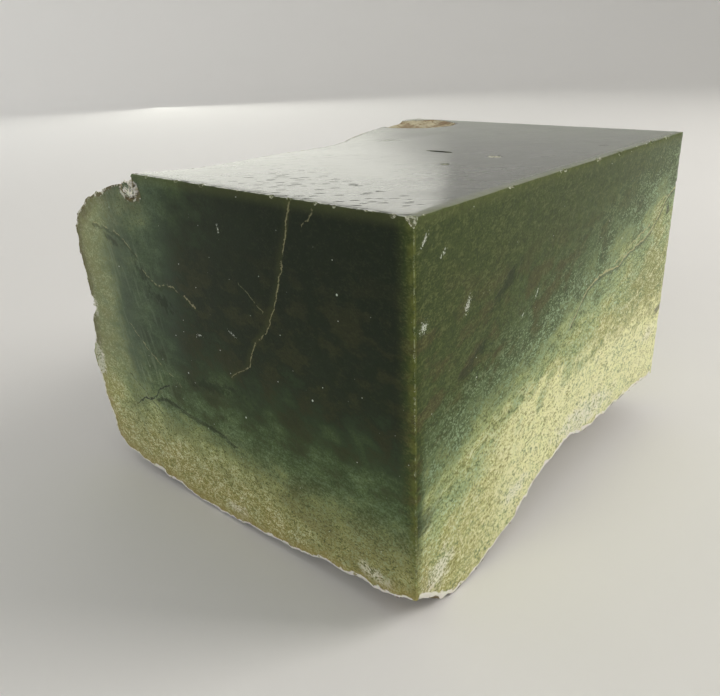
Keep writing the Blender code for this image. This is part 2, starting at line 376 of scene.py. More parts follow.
def finishStone(stone, before):
    print("  faces after sawing:", len(stone.data.polygons))
    depth, onSkin, onCut = measureSkin(stone)
    fine = rim["fine"]
    selectFaces(stone, lambda face: face.material_index == slotOf["sawn"]
                and min(depth[corner] for corner in face.vertices) < fine)
    bpy.ops.mesh.subdivide(number_cuts=1)
    bpy.ops.object.mode_set(mode="OBJECT")
    mesh = stone.data
    depth, onSkin, onCut = measureSkin(stone)
    edge = np.zeros(len(mesh.vertices))
    for point in mesh.vertices:
        if not onCut[point.index] or depth[point.index] > fine:
            continue
        sides = lieOnSaw(point.co)
        if len(sides) != 1:
            continue
        out = sawnSides[sides[0]][0]
        smallest, largest = rim["width"][sides[0]]
        share = 0.5 + sum(amount * blot(point.co, size, seed) for amount, size, seed in rim["waver"])
        width = smallest + (largest - smallest) * min(max(share, 0), 1) ** 1.5
        edge[point.index] = min(max(rim["reach"] - depth[point.index] / width, 0), 1)
        if depth[point.index] < width:
            point.co -= out * (width - depth[point.index]) * rim["slope"] * mm
    storeValue(mesh, "depth", depth)
    storeValue(mesh, "edge", edge)
    height = np.zeros(len(mesh.vertices))
    for point in mesh.vertices:
        if onSkin[point.index]:
            nearest, normal, face, gap = before.find_nearest(point.co)
            height[point.index] = math.copysign(gap, (point.co - nearest).dot(normal)) / mm
    storeValue(mesh, "height", height)
    for face in mesh.polygons:
        if (face.material_index == slotOf["sawn"] and face.normal.z > 0.9
                and face.center.z > highCorner.z - 2 * mm):
            face.material_index = slotOf["top"]
    takeUp(stone)
    bpy.ops.object.shade_smooth_by_angle(angle=math.radians(rim["sharp"]))
    print("  triangles:", sum(len(face.vertices) - 2 for face in mesh.polygons))


def makeStone(finishes):
    stone, before = makeRoughStone()
    dress(stone, finishes, "skin")
    print("rough stone:", len(stone.data.polygons), "faces")
    block = makeSawBlock()
    dress(block, finishes, "sawn")
    print("saw block:", len(block.data.polygons), "faces")
    cutters = [makeBreak(name, *sizes) for name, sizes in breaks.items()] + makeChips()
    for cutter in cutters:
        dress(cutter, finishes, "break")
        boolean(block, cutter, "DIFFERENCE")
    print("breaks and chips cut:", len(cutters))
    for name, sizes in crystals.items():
        boolean(stone, makeCrystals(name, finishes, *sizes), "UNION")
    print("crusts of crystals set:", len(crystals))
    boolean(stone, block, "INTERSECT")
    for face in stone.data.polygons:
        if face.material_index == slotOf["skin"] and any(
                insideBreak(face.center, *sizes[:2]) for sizes in breaks.values()):
            face.material_index = slotOf["break"]
    finishStone(stone, before)
    stone.name = "jadeStone"
    return stone


# shader benches: a wire is one socket, and sums and products of wires add the Math nodes

class Wire:
    def __init__(self, bench, socket):
        self.bench = bench
        self.socket = socket

    def __add__(self, other):
        return self.bench.sum("ADD", self, other)

    def __radd__(self, other):
        return self.bench.sum("ADD", other, self)

    def __sub__(self, other):
        return self.bench.sum("SUBTRACT", self, other)

    def __rsub__(self, other):
        return self.bench.sum("SUBTRACT", other, self)

    def __mul__(self, other):
        return self.bench.sum("MULTIPLY", self, other)

    def __rmul__(self, other):
        return self.bench.sum("MULTIPLY", other, self)

    def __truediv__(self, other):
        return self.bench.sum("DIVIDE", self, other)

    def __abs__(self):
        return self.bench.sum("ABSOLUTE", self)

    def most(self, other):
        return self.bench.sum("MAXIMUM", self, other)


def tint(code):
    parts = [int(code[k:k + 2], 16) / 255 for k in (0, 2, 4)]
    return [part / 12.92 if part <= 0.04045 else ((part + 0.055) / 1.055) ** 2.4 for part in parts] + [1.0]


class Bench:
    def __init__(self, name):
        self.material = bpy.data.materials.new(name)
        self.material.use_nodes = True
        self.tree = self.material.node_tree
        self.tree.nodes.clear()

    def add(self, kind, settings=None, sockets=None, out=0):
        node = self.tree.nodes.new("ShaderNode" + kind)
        for key, value in (settings or {}).items():
            if key == "stops":
                ramp = node.color_ramp
                while len(ramp.elements) < len(value):
                    ramp.elements.new(0.5)
                for stop, (place, colour) in zip(ramp.elements, value):
                    stop.position = place
                    stop.color = colour
            elif key == "curve":
                line = node.mapping.curves[0]
                while len(line.points) < len(value):
                    line.points.new(0.5, 0.5)
                for point, place in zip(line.points, value):
                    point.location = place
                node.mapping.update()
            else:
                setattr(node, key, value)
        for key, value in (sockets or {}).items():
            if isinstance(value, Wire):
                self.tree.links.new(value.socket, node.inputs[key])
            else:
                node.inputs[key].default_value = value
        return None if out is None else Wire(self, node.outputs[out])

    def sum(self, operation, first, second=0.0):
        return self.add("Math", {"operation": operation}, {0: first, 1: second})

    def local(self):
        # millimetres from the lower front corner of the box: x along the long face, y inwards, z up
        point = self.add("TexCoord", out=3)
        return self.add("Mapping", None, {
            0: point, 1: (-lowCorner.x / mm, -lowCorner.y / mm, 0), 3: (1 / mm,) * 3})

    def parts(self, point):
        node = self.add("SeparateXYZ", None, {0: point}).socket.node
        return [Wire(self, output) for output in node.outputs]

    def value(self, name):
        return self.add("Attribute", {"attribute_name": name}, out=2)

    def smooth(self, value, start, end):
        # a soft step from 0 to 1
        return self.add("MapRange", {"interpolation_type": "SMOOTHSTEP"}, {0: value, 1: start, 2: end})

    def mix(self, share, first, second):
        return self.add("Mix", {"data_type": "RGBA"}, {0: share, 6: first, 7: second}, out=2)

    def fade(self, places, at, share=None):
        # soft steps multiplied: each names what is measured, and where the step starts and ends
        for name, start, end in places:
            step = self.smooth(at[name], start, end)
            share = step if share is None else share * step
        return share

    def lay(self, colour, tone, at, share=None):
        # a tone is a colour, its strength, and the places where it is laid over the one below
        code, strength, *places = tone
        share = self.fade(places, at, share)
        return self.mix(strength if share is None else share * strength, colour, tint(code))

    def between(self, pair, at, share=None):
        first, second, *places = pair
        return self.mix(self.fade(places, at, share), tint(first), tint(second))

    def clouds(self, point, size, detail=3.0, rough=0.55):
        # noise, spread so that it uses the whole range from 0 to 1
        raw = self.add("TexNoise", None, {
            "Vector": point, "Scale": 1 / size, "Detail": detail, "Roughness": rough})
        return self.add("MapRange", None, {0: raw, 1: 0.3, 2: 0.7})

    def cells(self, point, size, out=0):
        return self.add("TexVoronoi", None, {"Vector": point, "Scale": 1 / size}, out=out)

    def vector(self, operation, first, second, out=0):
        return self.add("VectorMath", {"operation": operation}, {0: first, 1: second}, out=out)

    def times(self, point, factor):
        return self.add("VectorMath", {"operation": "SCALE"}, {0: point, "Scale": factor})

    def along(self, point, line, stretch):
        # squeezes a point's place along a line, so that a pattern on it is drawn out by stretch
        line = Vector(line).normalized()
        share = self.vector("DOT_PRODUCT", point, line, out=1)
        return self.vector("SUBTRACT", point, self.times(tuple(line), share * (1 - 1 / stretch)))

    def trace(self, across, along, points):
        # distance in mm from a wandering line given as (along, across) points, and how far past its ends
        points = sorted(points)
        runs, sways = zip(*points)
        start, end, left, right = min(runs), max(runs), min(sways), max(sways)
        curve = [((run - start) / (end - start), (sway - left) / (right - left)) for run, sway in points]
        share = self.add("MapRange", None, {0: along, 1: start, 2: end})
        line = self.add("FloatCurve", {"curve": curve}, {1: share})
        off = across - (line * (right - left) + left)
        outside = (start - along).most(along - end).most(0.0)
        return off, outside

    def finish(self, colour, rough, body, relief=None, strength=0.8):
        sockets = {"Base Color": colour, "Roughness": rough, **body}
        if relief is not None:
            sockets["Normal"] = self.add("Bump", None, {
                "Strength": strength, "Distance": mm, "Height": relief})
        shader = self.add("BsdfPrincipled", None, sockets)
        self.add("OutputMaterial", None, {0: shader}, out=None)
        return self.material


# the jade itself: pale beds near the skin and a dark core, both full of granules

jade = {
    "leaf": (-0.4, -0.125, 1.0),      # across its leaves, which lie along the beds
    "leafThin": 0.5,                  # its patterns are this much thinner across the leaves
    "grainThin": 0.65,
    # patterns: size in mm, detail, roughness, and how far they shift the beds in mm
    "broad": (24, 2, 0.55, 10),
    "patch": (9, 4, 0.62, 15),
    "clump": (2.2, 3, 0.65, 8),
    "grain": (0.62, 2, 0.65, 8),
    "bed": (30.0, 0.348, 0.125),      # height of the pale bed at the front corner, its rise along x and y
    "bedScale": 0.92,
    "endFaceShade": (21.5, 4),              # painted shade: the end face is drawn darker, as if the bed lay this much lower right at the end face, over this depth
    "skinLine": 116.0,                # y where the pale zone under the side's skin ends
    "skinLean": (9, 76, 92),          # it ends this much sooner near the top, from one height to the other
    "skinBlend": 9.0,                 # how softly it runs into the bed
    "beds": [(-30, "aeac69"), (-12, "b2b371"), (-5, "acb576"), (0, "9fac72"), (5, "879463"),
             (9, "718055"), (14, "5a6b45"), (21, "495938"), (29, "37452f"), (37, "2a3324"), (60, "232b1f")],
    # places: what is measured there, and where a soft step on it starts and ends
    # painted light: lit marks the long face and a band up to 5.5 mm beside it, which are drawn lighter as the
    # lit side
    "lit": [("y", 5.5, 0)],
    "side": [("y", 98, 111), ("z", 20, 44)],
    "pale": [("bed", 8, -4)],
    "middle": [("bed", -14, 2), ("bed", 30, 14)],
    "core": [("bed", 12, 28)],
    "teal": [("tealPatch", 0.36, 0.6)],
    # tones: colour, strength, and their places
    "lowBed": ("f0f1b8", 0.95, ("lowHeight", 49, 37), ("x", 8, 55), ("bed", 4, -8)),
    # painted light: a lighter green core on the lit long face
    "litStone": ("48552a", 0.85, ("bed", 4, 22)),
    "sideStone": ("5d6a58", "717a66", ("z", 62, 88)),
    "sideStrength": 0.6,
    "farHigh": ("7c874f", 0.6, ("x", 88, 120), ("highHeight", 42, 52), ("bed", 8, -6)),
    "foot": ("a2945a", 0.6, ("z", 32, 10), ("x", 10, 2)),
    "paleGrain": ("efefcb", 0.7, ("granule", 0.52, 0.72)),
    "gap": ("7c7f46", "68825c"),      # between the granules of the pale bed, tan or teal
    "gapPlace": [("granule", 0.5, 0.28)],
    "gapStrength": 0.85,
    "lightGrain": ("aac5a0", 1, ("granule", 0.5, 0.74)),
    "darkGrain": ("36462f", 0.7, ("granule", 0.5, 0.24)),
    "brown": ("524f2f", 1, ("patch", 0.42, 0.75), ("z", 92, 70)),
    "coreGrain": ("71764c", 1, ("granule", 0.5, 0.78), ("mottle", 0.35, 0.6)),
    "coreGap": ("222a1b", 0.4, ("granule", 0.5, 0.25)),
}


def bodyColour(bench, local):
    # the stone right through, and what is measured at each place of it
    at = dict(zip("xyz", bench.parts(local)))
    x, y, z = at["x"], at["y"], at["z"]
    height, riseAlong, riseInwards = jade["bed"]
    shadeShift, shadeDepth = jade["endFaceShade"]
    # painted shade: the beds are moved lower right at the end face, so that it reads darker than the lit long
    # face
    above = z - height - x * riseAlong - y * riseInwards + bench.smooth(x, shadeDepth, 0) * shadeShift
    lean, leanFrom, leanTo = jade["skinLean"]
    inside = jade["skinLine"] - y - bench.smooth(z, leanFrom, leanTo) * lean
    bed = bench.add("Math", {"operation": "SMOOTH_MIN"}, {0: above, 1: inside, 2: jade["skinBlend"]})
    bed = bed * jade["bedScale"]
    leaves = bench.along(local, jade["leaf"], jade["leafThin"])
    fine = bench.along(local, jade["leaf"], jade["grainThin"])
    for name, where in (("broad", local), ("patch", leaves), ("clump", leaves), ("grain", fine)):
        size, detail, roughness, shift = jade[name]
        at[name] = bench.clouds(where, size, detail, roughness)
        bed = bed + (at[name] - 0.5) * shift
    at["bed"] = bed
    at["granule"] = at["grain"] * 0.6 + at["clump"] * 0.4
    at["mottle"] = at["clump"] * 0.6 + at["broad"] * 0.4
    at["tealPatch"] = at["patch"] * 0.5 + at["broad"] * 0.5
    at["lowHeight"] = z + (at["patch"] - 0.5) * 14
    at["highHeight"] = z + (at["patch"] - 0.5) * 8

    first, last = jade["beds"][0][0], jade["beds"][-1][0]
    stops = [((place - first) / (last - first), tint(code)) for place, code in jade["beds"]]
    share = bench.add("MapRange", None, {0: bed, 1: first, 2: last})
    colour = bench.add("ValToRGB", {"stops": stops}, {0: share})
    colour = bench.lay(colour, jade["lowBed"], at)
    # painted light: the core of the lit long face is drawn lighter green
    lit = bench.fade(jade["lit"], at)
    colour = bench.lay(colour, jade["litStone"], at, lit)

    # duller and silkier under the side's skin, greener in the high part of the far end, tanned low down
    side = bench.fade(jade["side"], at)
    colour = bench.mix(side * jade["sideStrength"], colour, bench.between(jade["sideStone"], at))
    colour = bench.lay(colour, jade["farHigh"], at)
    colour = bench.lay(colour, jade["foot"], at)

    # granules: pale ones in the bed, teal ones beside it, olive ones in the core
    pale = bench.fade(jade["pale"], at) * (1 - side * 0.7)
    middle = bench.fade(jade["middle"], at) * (1 - side * 0.6)
    core = bench.fade(jade["core"], at)
    teal = bench.fade(jade["teal"], at) * (bench.smooth(y, 50, 5) * 0.6 + 0.4)
    teal = teal * (bench.smooth(x, 0, 8) * 0.7 + 0.3)
    colour = bench.lay(colour, jade["paleGrain"], at, pale)
    gaps = bench.fade(jade["gapPlace"], at, pale) * jade["gapStrength"]
    colour = bench.mix(gaps, colour, bench.between(jade["gap"], at, teal))
    colour = bench.lay(colour, jade["lightGrain"], at, middle * (0.25 + teal * 0.55))
    colour = bench.lay(colour, jade["darkGrain"], at, middle)
    # brown mottles and pale core granules, partly painted light: both are stronger on the lit long face
    colour = bench.lay(colour, jade["brown"], at, core * (0.25 + lit * 0.45))
    colour = bench.lay(colour, jade["coreGrain"], at, core * (0.06 + lit * 0.4))
    colour = bench.lay(colour, jade["coreGap"], at, core)
    return colour, at


# what is drawn on the sawn faces

# veins, cracks and the dark beside veins: face, axis they run along, axis across, half width in mm,
# strength, and how much of them is missing, then their points as (along, across) in mm
veins = {
    "endMain": ("end", "z", "y", 0.06, 0.5, 0.32, [
        (98.9, 33.8), (92.6, 35.2), (87.6, 37.2), (79.5, 39.4), (72.6, 42.2), (68.2, 44.4),
        (64.5, 47.5), (61.7, 49.8), (57.6, 52.5), (54.5, 53.8), (51.4, 58.1), (49.5, 60.6)]),
    "endTopBranch": ("end", "z", "y", 0.08, 0.4, 0.3, [(98.2, 26.9), (96.0, 28.4), (94.5, 30.0)]),
    "endSide": ("end", "y", "z", 0.06, 0.55, 0.42, [
        (73.8, 66.8), (80.0, 69.2), (85.0, 70.7), (90.0, 69.8), (94.4, 71.4), (96.9, 72.6),
        (98.8, 76.4), (102.5, 78.9), (108.8, 82.0), (120.4, 83.2)]),
    "endLow": ("end", "y", "z", 0.06, 0.5, 0.4, [
        (86.2, 39.5), (90.0, 41.4), (96.2, 44.5), (101.2, 47.6), (108.9, 54.2)]),
    "endArc": ("end", "z", "y", 0.12, 0.3, 0.4, [(71.4, 46.9), (74.5, 50.0), (76.6, 53.8)]),
    "longMain": ("long", "x", "z", 0.1, 1.0, 0.15, [
        (69.9, 55.8), (73.0, 58.9), (75.5, 61.4), (79.2, 64.1), (84.2, 65.8), (89.2, 66.4),
        (94.2, 66.0), (100.5, 67.0), (108.0, 68.9), (115.5, 70.5), (121.1, 71.4), (124.2, 73.2),
        (128.0, 76.4), (130.5, 78.9), (134.2, 81.4), (140.5, 83.2)]),
    "longTwin": ("long", "x", "z", 0.08, 0.8, 0.35, [
        (95.0, 67.2), (101.0, 68.6), (108.0, 71.0), (115.5, 72.8), (121.1, 74.6), (127.0, 78.0)]),
    "longBranch": ("long", "x", "z", 0.1, 0.7, 0.45, [
        (121.8, 78.2), (126.0, 79.2), (129.2, 80.8), (134.0, 81.6)]),
}
cracks = {
    "endUpper": ("end", "y", "z", 0.1, 0.9, 0.1, [
        (92.5, 37.0), (97.5, 35.1), (100.0, 32.0), (103.8, 30.1), (108.8, 28.2), (111.9, 25.5)]),
    "endLower": ("end", "y", "z", 0.6, 0.55, 0.1, [
        (64.0, 27.0), (75.0, 29.6), (84.0, 30.4), (93.8, 31.8), (99.5, 30.8)]),
    "endFork": ("end", "y", "z", 0.08, 0.7, 0.3, [(97.5, 25.5), (103.0, 29.5), (109.0, 32.5), (114.0, 36.0)]),
}
besideVeins = {
    "long": ("long", "x", "z", 0.4, 0.55, 0.1, veins["longMain"][-1]),
    "end": ("end", "y", "z", 0.4, 0.5, 0.1, veins["endSide"][-1]),
}
# soft spots: face, their middle and half sizes in mm, how far they are turned, and strength
darkWisps = [
    ("long", (34.5, 77.4), (9.5, 2.8), 28, 0.6),
    ("long", (20.5, 62.8), (10.0, 2.2), 30, 0.55),
    ("long", (3.5, 30.2), (7.0, 4.5), 25, 0.45),
    ("long", (134.5, 77.0), (1.6, 3.4), 10, 0.7),
    ("long", (137.5, 41.0), (5.0, 1.6), 5, 0.7),
    ("end", (88.0, 64.5), (6.0, 2.8), 15, 0.6),
    ("end", (70.0, 44.0), (14.0, 2.4), -8, 0.5),
    ("end", (111.0, 79.5), (6.0, 1.4), 20, 0.5),
    ("end", (97.5, 71.5), (5.5, 1.6), 52, 0.5),
]
paleBlooms = [
    ("long", (85, 22.5), (24, 6.5), 0, 0.9),
    ("long", (9, 11.5), (9, 6), 35, 0.8),
    ("long", (44, 16.5), (10, 3.5), 12, 0.7),
    ("long", (132, 34), (8, 3.5), 10, 0.6),
    ("end", (97.6, 95.0), (3.6, 1.9), 8, 1.0),
    ("end", (128.8, 55.5), (2.6, 4.6), 0, 1.0),
    ("end", (130.6, 36.0), (1.9, 7.5), 0, 1.0),
    ("end", (13, 9.5), (8, 3), 12, 0.7),
    ("end", (66, 5.5), (7, 2.4), 0, 0.6),
]
# painted glints: short bright flecks, given in the same way
flecks = [
    ("long", (3.4, 95.0), (1.9, 0.45), 50, 0.9),
    ("long", (9.6, 91.0), (1.2, 0.4), 40, 0.8),
    ("long", (18.8, 77.2), (2.0, 0.9), 65, 0.8),
    ("long", (49.5, 71.4), (1.6, 0.35), 60, 0.7),
    ("long", (43.1, 67.6), (0.9, 0.35), 40, 0.7),
    ("long", (3.0, 77.0), (1.4, 1.1), 40, 0.8),
    ("end", (60.0, 89.6), (1.2, 0.3), 80, 0.7),
    ("end", (59.0, 62.4), (1.6, 0.3), 25, 0.7),
    ("end", (73.4, 58.6), (1.1, 0.3), 0, 0.8),
]


faceAxes = {"end": ("y", "z"), "long": ("x", "z")}


def softSpot(bench, place, centre, size, turn, ragged=0.0):
    # 1 in the middle of a soft-edged spot, 0 outside
    u, v = place[0] - centre[0], place[1] - centre[1]
    cosine, sine = math.cos(math.radians(turn)), math.sin(math.radians(turn))
    far = (u * cosine + v * sine) / size[0]
    wide = (v * cosine - u * sine) / size[1]
    return bench.smooth(bench.sum("SQRT", far * far + wide * wide) + ragged, 1.0, 0.2)


def lines(bench, drawn, at, onFace, wander):
    # the strongest of the given veins or cracks at each place
    most = 0.0
    for face, along, across, width, strength, missing, points in drawn.values():
        off, outside = bench.trace(at[across], at[along], points)
        there = bench.smooth(abs(off + wander) + outside * 0.4, width + 0.24, width)
        there = there * bench.smooth(at["rough"], missing - 0.1, missing + 0.1) * onFace[face] * strength
        most = there.most(most)
    return most


def spots(bench, wanted, at, onFace, ragged):
    most = 0.0
    for face, centre, size, turn, strength in wanted:
        there = softSpot(bench, [at[axis] for axis in faceAxes[face]], centre, size, turn, ragged)
        most = (there * onFace[face] * strength).most(most)
    return most


def specks(bench, point, size, radius, share):
    # scattered small dots: cells that draw under share hold one
    gap = bench.cells(point, size)
    pick = bench.parts(bench.cells(point, size, out=1))[0]
    return bench.smooth(gap * size, radius * 1.4, radius * 0.6) * bench.smooth(pick, share, share * 0.9)


# the sawn sides

sawn = {
    "onFace": {"end": [("x", 0.9, 0.5)], "long": [("y", 0.9, 0.5)]},
    # patterns: size in mm, detail and roughness
    "rough": (3.0, 4, 0.65),
    "wander": (1.8, 4, 0.7),
    "sway": (8, 2),
    "silk": (1.6, 3, 0.6),
    "leafy": (1.6, 4),
    "grit": (0.8, 3, 0.7),
    "fleckEdge": (0.5, 3, 0.7),
    "silkLine": ((0, -0.28, -0.96), 7),        # the way the silk runs, and how far it is drawn out
    "wispLine": ((0.9, 0.3, 0.42), 3),
    "smallSpecks": (2.4, 0.14, 0.55),          # how far apart and how large in mm, and the share that shows
    "largeSpecks": (7.0, 0.25, 0.4),
    "swarm": [("patch", 0.45, 0.7)],           # the small ones crowd in these patches
    # tones of what is drawn on the faces: colour, strength, and their places
    "silkStreak": ("9fae8e", 0.3, ("silk", 0.55, 0.85), ("y", 86, 98), ("y", 122, 110)),
    "greyer": ("3d4b40", 0.5, ("y", 76, 88), ("y", 118, 108), ("z", 30, 55)),
    "halo": ("4c4f2c", 0.35, ("off", 2.6, 0.0), ("off", -0.6, 0.0), ("outside", 2, 0)),
    "besideVein": ("39452c", 1),
    "vein": ("b8b38a", 1),
    "dark": ("20271b", 1),
    "bloom": ("eeeddd", 1, ("granule", 0.3, 0.6)),
    "glint": ("e1e8dc", 0.9),
    # tones beside the arrises, painted glow and highlight, then under the skin and in the crumbled rim
    # painted glow: lighter olive on the end face beside the front arris
    "edgeGlow": ("6f7436", 0.55, ("y", 2.6, 0.2), ("rough", 0.1, 0.7)),
    # a pale broken line on the front arris: partly worn chips, partly painted highlight
    "arris": ("c9ceb0", 0.45, ("corner", 0.55, 0.3), ("grit", 0.4, 0.7)),
    # painted glow: lighter olive on the sawn sides just under the top arris
    "underTopGlow": ("6c7145", 0.3, ("z", 96.5, 99.6)),
    "nearSkin": [("skinDepth", 5, 0.5), ("z", 96, 86)],
    "warm": ("9c8f58", "605c3d", ("z", 22, 46)),
    "high": [("z", 34, 62)],
    "crumbs": ("f3f1e6", "6b5d43", ("rough", 0.62, 0.5)),
    "rim": [("edge", 0.3, 0.6), ("rough", 0.12, 0.3)],
    "roughness": 0.33,
    "body": {"IOR": 1.6, "Specular IOR Level": 0.08, "Subsurface Weight": 0.4,
             "Subsurface Radius": (0.75, 1.0, 0.4), "Subsurface Scale": 0.0016},
}


def sawnFinish():
    bench = Bench("jadeSawn")
    local = bench.local()
    colour, at = bodyColour(bench, local)
    edge = at["edge"] = bench.value("edge")
    onFace = {face: bench.fade(place, at) for face, place in sawn["onFace"].items()}
    rough = at["rough"] = bench.clouds(local, *sawn["rough"])
    wander = bench.clouds(local, *sawn["wander"]) - 0.5 + (bench.clouds(local, *sawn["sway"]) - 0.5) * 1.4

    # silky pale streaks in the zone under the side's skin, and a greyer green where it meets the core
    at["silk"] = bench.clouds(bench.along(local, *sawn["silkLine"]), *sawn["silk"])
    colour = bench.lay(colour, sawn["silkStreak"], at, onFace["end"])
    colour = bench.lay(colour, sawn["greyer"], at, onFace["end"])
    # veins with a dark shadow beside them, cracks and dark wisps
    light = lines(bench, veins, at, onFace, wander)
    at["off"], at["outside"] = bench.trace(at["y"], at["z"], veins["endMain"][-1])
    colour = bench.lay(colour, sawn["halo"], at, onFace["end"])
    colour = bench.lay(colour, sawn["besideVein"], at, lines(bench, besideVeins, at, onFace, wander + 0.7))
    colour = bench.lay(colour, sawn["vein"], at, light)
    leafy = (bench.clouds(bench.along(local, *sawn["wispLine"]), *sawn["leafy"]) - 0.5) * 1.3
    dark = lines(bench, cracks, at, onFace, wander).most(spots(bench, darkWisps, at, onFace, leafy))
    colour = bench.lay(colour, sawn["dark"], at, dark)

    # whitish clouds low down, and painted glints: scattered bright specks
    bloom = spots(bench, paleBlooms, at, onFace, (rough - 0.5) * 0.9)
    colour = bench.lay(colour, sawn["bloom"], at, bloom)
    dots = bench.fade(sawn["swarm"], at, specks(bench, local, *sawn["smallSpecks"]))
    dots = dots.most(specks(bench, local, *sawn["largeSpecks"]))
    fleckEdge = (bench.clouds(local, *sawn["fleckEdge"]) - 0.45) * 2.6
    colour = bench.lay(colour, sawn["glint"], at, dots.most(spots(bench, flecks, at, onFace, fleckEdge)))

    # painted glow, where thin stone would let light through: lighter and warmer beside the arrises. Then tan
    # to brown just under the skin
    # painted glow beside the front arris of the end face
    colour = bench.lay(colour, sawn["edgeGlow"], at, onFace["end"])
    at["corner"] = at["x"] + at["y"]
    at["grit"] = bench.clouds(local, *sawn["grit"])
    # the front arris: worn chips and painted highlight
    colour = bench.lay(colour, sawn["arris"], at)
    # painted glow under the top arris
    colour = bench.lay(colour, sawn["underTopGlow"], at)
    at["skinDepth"] = bench.value("depth") + (rough - 0.5) * 3
    nearSkin = bench.fade(sawn["nearSkin"], at, onFace["end"] * 0.5 + 0.15)
    colour = bench.mix(nearSkin, colour, bench.between(sawn["warm"], at))
    # the crumbled rim: white low down, brown with white crumbs higher up on the end
    high = bench.fade(sawn["high"], at, onFace["end"])
    crumbs = bench.between(sawn["crumbs"], at, high)
    colour = bench.mix(bench.fade(sawn["rim"], at, 1 - high * 0.35), colour, crumbs)

    gloss = sawn["roughness"] + (rough - 0.5) * 0.1 + edge * 0.3 + light * 0.12
    relief = at["granule"] * 0.03 + rough * 0.03 - dark * 0.06 + edge * (rough + at["granule"]) * 0.5
    return bench.finish(colour, gloss, sawn["body"], relief)


# the top, sawn last: satin, with a grey haze that is partly painted sheen, short saw streaks, a few pits, a
# crack, and painted highlights along its front and end arrises

top = {
    "sawLine": ((0.62, -0.78, 0), 3),          # the way the streaks run, and how far they are drawn out
    "streaks": (1.2, 4, 0.65),
    "veil": (10, 4, 0.6),
    # grey haze: partly the ground top's own, partly painted sheen
    "hazeAndSheen": ("7d817b", 1),
    "hazeAndSheenStrength": 0.55,
    "smallPits": (1.5, 0.32, 0.7),             # given as the specks above are
    "largePits": (7.0, 0.4, 0.3),
    "pitted": [("cornerWay", 14, 2), ("y", 80, 30)],    # the small pits lie towards the end face
    "pit": ("3c4034", 0.85),
    "lens": ((82.5, 73.5), (8.5, 4.6), -62),   # a darker patch: its middle, half sizes and turn
    "lensTone": ("656b58", 0.6),
    "dots": (14.0, 0.42, 0.3),
    "dot": ("e9ebe4", 0.8),
    # painted highlights: a lighter line beside the front arris, and a pale line along the end arris
    "front": ("959c78", 0.35, ("y", 4, 0.5)),
    "arris": ("e0e2d8", 0.7, ("x", 0.9, 0.2), ("streaks", 0.3, 0.6)),
    "rim": ("6d6247", 0.7, ("depth", 1.5, 0.1)),
    "roughness": 0.125,                        # it was ground smoother than the sides
    "body": {"IOR": 1.6, "Specular IOR Level": 0.32, "Subsurface Weight": 0.25,
             "Subsurface Radius": (0.75, 1.0, 0.4), "Subsurface Scale": 0.0016},
}


def topFinish():
    bench = Bench("jadeTop")
    local = bench.local()
    colour, at = bodyColour(bench, local)
    x, y = at["x"], at["y"]
    at["depth"] = bench.value("depth")
    drawn = bench.along(local, *top["sawLine"])
    streaks = at["streaks"] = bench.clouds(drawn, *top["streaks"])
    veil = bench.clouds(drawn, *top["veil"]) - 0.5
    # the grey haze, partly painted sheen, thinner towards the far end
    hazeAndSheen = top["hazeAndSheenStrength"] + (streaks - 0.5) * 0.2 + veil * 0.25 - bench.smooth(x, 120, 139) * 0.2
    colour = bench.lay(colour, top["hazeAndSheen"], at, hazeAndSheen)
    at["cornerWay"] = x - y * 0.3
    pits = bench.fade(top["pitted"], at, specks(bench, drawn, *top["smallPits"]))
    pits = pits.most(specks(bench, drawn, *top["largePits"]) * 0.7)
    colour = bench.lay(colour, top["pit"], at, pits)
    lens = softSpot(bench, (x, y), *top["lens"], (streaks - 0.5) * 0.5)
    colour = bench.lay(colour, top["lensTone"], at, lens)
    colour = bench.lay(colour, top["dot"], at, specks(bench, local, *top["dots"]))
    # painted highlights along the front and end arrises, then brown near the skin
    for place in ("front", "arris", "rim"):
        colour = bench.lay(colour, top[place], at)
    gloss = top["roughness"] + (streaks - 0.5) * 0.05 + veil * 0.08 + pits * 0.3 + lens * 0.14
    relief = streaks * 0.01 - pits * 0.35 + bench.value("edge") * streaks * 0.2
    return bench.finish(colour, gloss, top["body"], relief)


# the natural skin: tan to olive, brown in patches, chalky in its pits and greener where it is worn

skin = {
    # patterns: size in mm, detail and roughness
    "broad": (31, 3, 0.6),
    "mottle": (9, 4, 0.65),
    "mottleThin": 0.6,
    "grain": (1.3, 4, 0.7),
    "rustPatch": (14, 4, 0.7),
    "bumps": (0.5, 3, 0.7),
    # tones: colour or colours, strength, and their places
    "base": ("6f6044", "7a7759", ("skinBroad", 0.3, 0.7)),
    "tan": ("998a64", 0.7, ("skinMottle", 0.5, 0.8)),
    "brown": ("553c25", 0.8, ("skinMottle", 0.4, 0.14), ("skinBroad", 0.7, 0.4)),
    "worn": [("wornHeight", 0.0, 0.6)],
    "wornPlace": [("skinMottle", 0.2, 0.6)],
    "wornStrength": 0.6,
    "chalk": ("cfc6aa", 0.65, ("chalkHeight", -0.75, -1.5)),
    "rust": ("7d4f2a", 0.6, ("rust", 0.62, 0.9)),
    "crust": ("d9cfb2", 0.4, ("skinGrain", 0.62, 0.95)),
    "soil": ("30291b", 0.55, ("skinGrain", 0.36, 0.08)),
    "recess": ("8a7350", "cdc6a8", ("recessPatch", 0.35, 0.6)),    # the hollow in the top
    "recessPlace": [("z", 94.5, 97)],
    "recessStrength": 0.85,
    "roughness": 0.72,
    "body": {"IOR": 1.5, "Specular IOR Level": 0.4, "Subsurface Weight": 0.2,
             "Subsurface Radius": (0.9, 1.0, 0.5), "Subsurface Scale": 0.0016},
}


